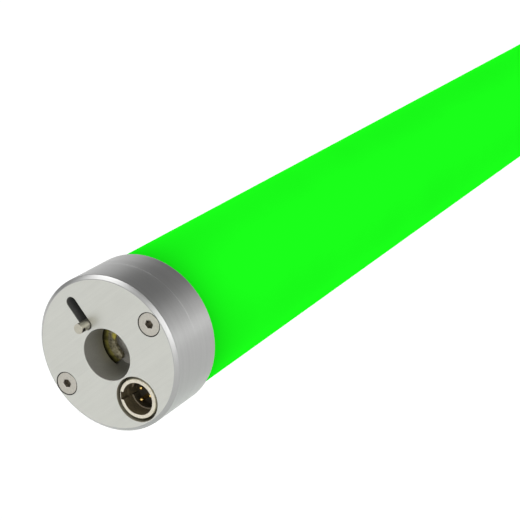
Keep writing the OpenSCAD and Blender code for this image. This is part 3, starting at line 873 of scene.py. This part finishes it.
def keyway(z0, z1):
    cut = block(SHELL_RI - KEY_CUT, SHELL_RI + KEY_DEPTH, -KEY_W / 2, KEY_W / 2, z0, z1)
    return turned(cut, KEY_ANGLE)


def socket_shell():
    top, end, shoulder = SHELL_LOW.z, SHELL_HIGH.z, RECESS_Z - FIT_GAP
    across, along = SHELL_CHAMFER
    profile = softened([(SHELL_RI, top), (SHELL_R - across, top), (SHELL_R, top + along),
                        (SHELL_R, shoulder), (THREAD_R, shoulder), (THREAD_R, end), (SHELL_RI, end)],
                       CORNER, hollow=True)
    shell = carved(lathe(profile, hollow=True), [keyway(top - OVER, KEY_END)])
    return moved(shell, y=SOCKET_Y)


def shell_finish(face):
    """Bright on its front ring, duller on its outer wall and painted shade inside."""
    middle = face.calc_center_median()
    if from_axis(middle, y=SOCKET_Y) > SHELL_R - CORNER:
        return barrel_metal
    return nickel if middle.z < SHELL_LOW.z + CORNER else barrel_shade_metal


def socket_insulator():
    top, end, barrel_end, outer_r = INSULATOR_LOW.z, INSULATOR_HIGH.z, SHELL_HIGH.z, INSULATOR_HIGH.x
    profile = softened([(SHELL_RI - 1.5, top), (outer_r, top), (outer_r, barrel_end),
                        (BOSS_R, barrel_end), (BOSS_R, end)], SMALL_CORNER)
    cutters = [hole(SHELL_RI - INSULATOR_LIP, top, INSULATOR_FLOOR),
               keyway(top - OVER, INSULATOR_FLOOR)]
    for angle in CONTACT_ANGLES:
        way = bar(CONTACT_R + CLOSE_FIT, INSULATOR_FLOOR - OVER, end + OVER, x=CONTACT_CIRCLE_R)
        cutters.append(turned(way, angle))
    return moved(carved(lathe(profile), cutters), y=SOCKET_Y)


def insulator_finish(face):
    """Painted light: a lighter brown on the lip's front, where light falls."""
    front = face.calc_center_median().z < INSULATOR_LOW.z + SLACK
    return insulator_lit_lip if front else insulator_black


def socket_contact():
    """A pin with a round tip in front and a solder cup behind."""
    tip, back, cup_end = CONTACT_LOW.z, INSULATOR_HIGH.z, CONTACT_HIGH.z
    dome = [(CONTACT_R * math.sin(a), tip + CONTACT_R * (1 - math.cos(a)))
            for a in (math.radians(10 * k) for k in range(1, 10))]
    body = lathe(dome + [(CONTACT_R, back), (CUP_R, back), (CUP_R, cup_end)], FINE // 2)
    cup_ri = CUP_R - CUP_WALL
    return carved(body, [lathe([(cup_ri, back + CUP_FLOOR), (cup_ri, cup_end + OVER)], FINE // 2)])


def socket_contacts():
    contacts = [turned(moved(socket_contact(), x=CONTACT_CIRCLE_R), angle) for angle in CONTACT_ANGLES]
    return moved(joined(*contacts), y=SOCKET_Y)


piece("socket_barrel", socket_shell(), [nickel, barrel_metal, barrel_shade_metal], ["socket_shell"],
      finish=shell_finish)
piece("socket_insert", socket_insulator(), [insulator_black, insulator_lit_lip], ["socket_insulator"],
      finish=insulator_finish)
piece("socket_pins", socket_contacts(), [gold], ["socket_contacts"])


# ---- Studio --------------------------------------------------------------------------------------

def pale_floor():
    """A wide matt floor, far enough below the tube that its shadow stays soft."""
    size, depth = 12.0, -0.30
    mesh = bpy.data.meshes.new("floor")
    corners = [(-size, -size, depth), (size, -size, depth), (size, size, depth), (-size, size, depth)]
    mesh.from_pydata(corners, [], [(0, 1, 2, 3)])
    floor = bpy.data.objects.new("floor", mesh)
    bpy.context.scene.collection.objects.link(floor)
    g = Finish("floor_paint")
    grain = g.noise(g.place, 4, detail=2)
    paint = g.ramp(grain, (0.0, (0.88, 0.88, 0.88)), (1.0, (0.92, 0.92, 0.92)))
    g.set(Base_Color=paint, Roughness=0.9, Specular_IOR_Level=0.1, Emission_Color=paint,
          Emission_Strength=0.25)
    mesh.materials.append(g.material)


# Brightness of the studio by height, from the horizon to overhead, and its soft lamps: each has the
# direction of its centre, its radius in degrees and what it adds.
SKY = [(0.0, 1.45), (0.15, 1.16), (0.3, 1.25), (0.4, 1.16), (0.46, 0.81), (0.51, 0.46), (0.57, 0.23),
       (0.65, 0.38), (0.85, 0.36), (0.97, 1.0)]
LAMPS = [((-0.57, -0.69, 0.40), 31, 2.9),
         ((-0.34, 0.49, 0.80), 27, 4.6),
         ((0.10, 0.97, 0.20), 24, -0.9),
         ((0.82, -0.55, -0.03), 16, 1.5)]


def studio_sky():
    """A pale horizon, a grey band above it, and soft lamps."""
    world = bpy.data.worlds.new("studio")
    bpy.context.scene.world = world
    world.use_nodes = True
    sky = Graph(world.node_tree)
    direction = sky.coordinates["Generated"]
    peak = max(level for _, level in SKY)
    stops = [(height, (level / peak,) * 3) for height, level in SKY]
    total = sky.math("MULTIPLY", sky.ramp(sky.parts(direction)["Z"], *stops), peak)
    for centre, radius, level in LAMPS:
        dot = sky.add("ShaderNodeVectorMath", operation="DOT_PRODUCT")
        sky.link(direction, dot.inputs[0])
        dot.inputs[1].default_value = Vector(centre).normalized()
        edge = math.cos(math.radians(radius))
        glow = sky.span(dot.outputs["Value"], edge, 1.0, 0.0, level, smooth=True)
        total = sky.math("ADD", total, glow)
    background = sky.add("ShaderNodeBackground")
    sky.link(total, background.inputs["Strength"])
    output = sky.add("ShaderNodeOutputWorld")
    sky.link(background.outputs["Background"], output.inputs["Surface"])


def camera():
    """Looks down the tube from in front of the front cap. The eye's place is in radii of the cap."""
    heading, pitch = math.radians(28.90), math.radians(20.09)
    level = Vector((math.cos(heading), math.sin(heading), 0)) * math.cos(pitch)
    forward = level - Vector((0, 0, math.sin(pitch)))
    data = bpy.data.cameras.new("camera")
    data.sensor_width = 36
    data.lens = 103.25
    eye = bpy.data.objects.new("camera", data)
    eye.location = Vector((-13.469, -9.533, 7.209)) * CAP_R * MM
    eye.rotation_euler = forward.to_track_quat("-Z", "Y").to_euler()
    bpy.context.scene.collection.objects.link(eye)
    bpy.context.scene.camera = eye


pale_floor()
studio_sky()
camera()
bpy.context.scene.view_settings.view_transform = "Standard"
